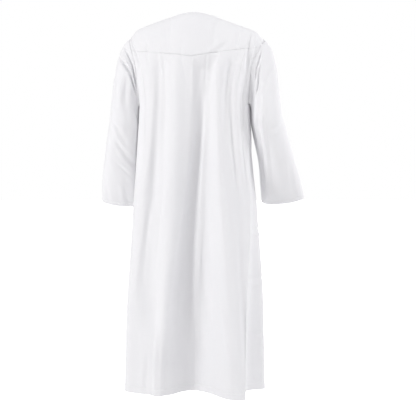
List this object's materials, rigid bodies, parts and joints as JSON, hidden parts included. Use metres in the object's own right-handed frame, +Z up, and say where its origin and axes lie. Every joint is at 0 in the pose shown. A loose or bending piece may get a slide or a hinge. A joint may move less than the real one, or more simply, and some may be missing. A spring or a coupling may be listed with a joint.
{
  "type": "thobe robe",
  "caption": "Collarless ankle-length white thobe robe with a shoulder yoke, wide sleeves ending below the elbow and soft folds down the back.",
  "frame": {"origin": "middle of the neck opening, between the two points where the shoulders meet the neck, where the wearer's shoulders hold the robe", "axes": "+Z up, the front faces -Y, +X is the wearer's left side"},
  "size_m": [0.7821, 0.2723, 1.3944],
  "materials": {
    "cloth": "matt white plain weave",
    "button": "satin"
  },
  "bodies": {
    "root": {"back_panel": "cloth", "back_yoke": "cloth", "front_panel": "cloth", "side_gore_left": "cloth", "side_gore_right": "cloth", "sleeve_left": "cloth", "sleeve_right": "cloth", "neck_binding": "cloth", "placket_over": "cloth", "placket_under": "cloth", "button_1": "button", "button_2": "button", "button_3": "button"}
  },
  "joints": []
}
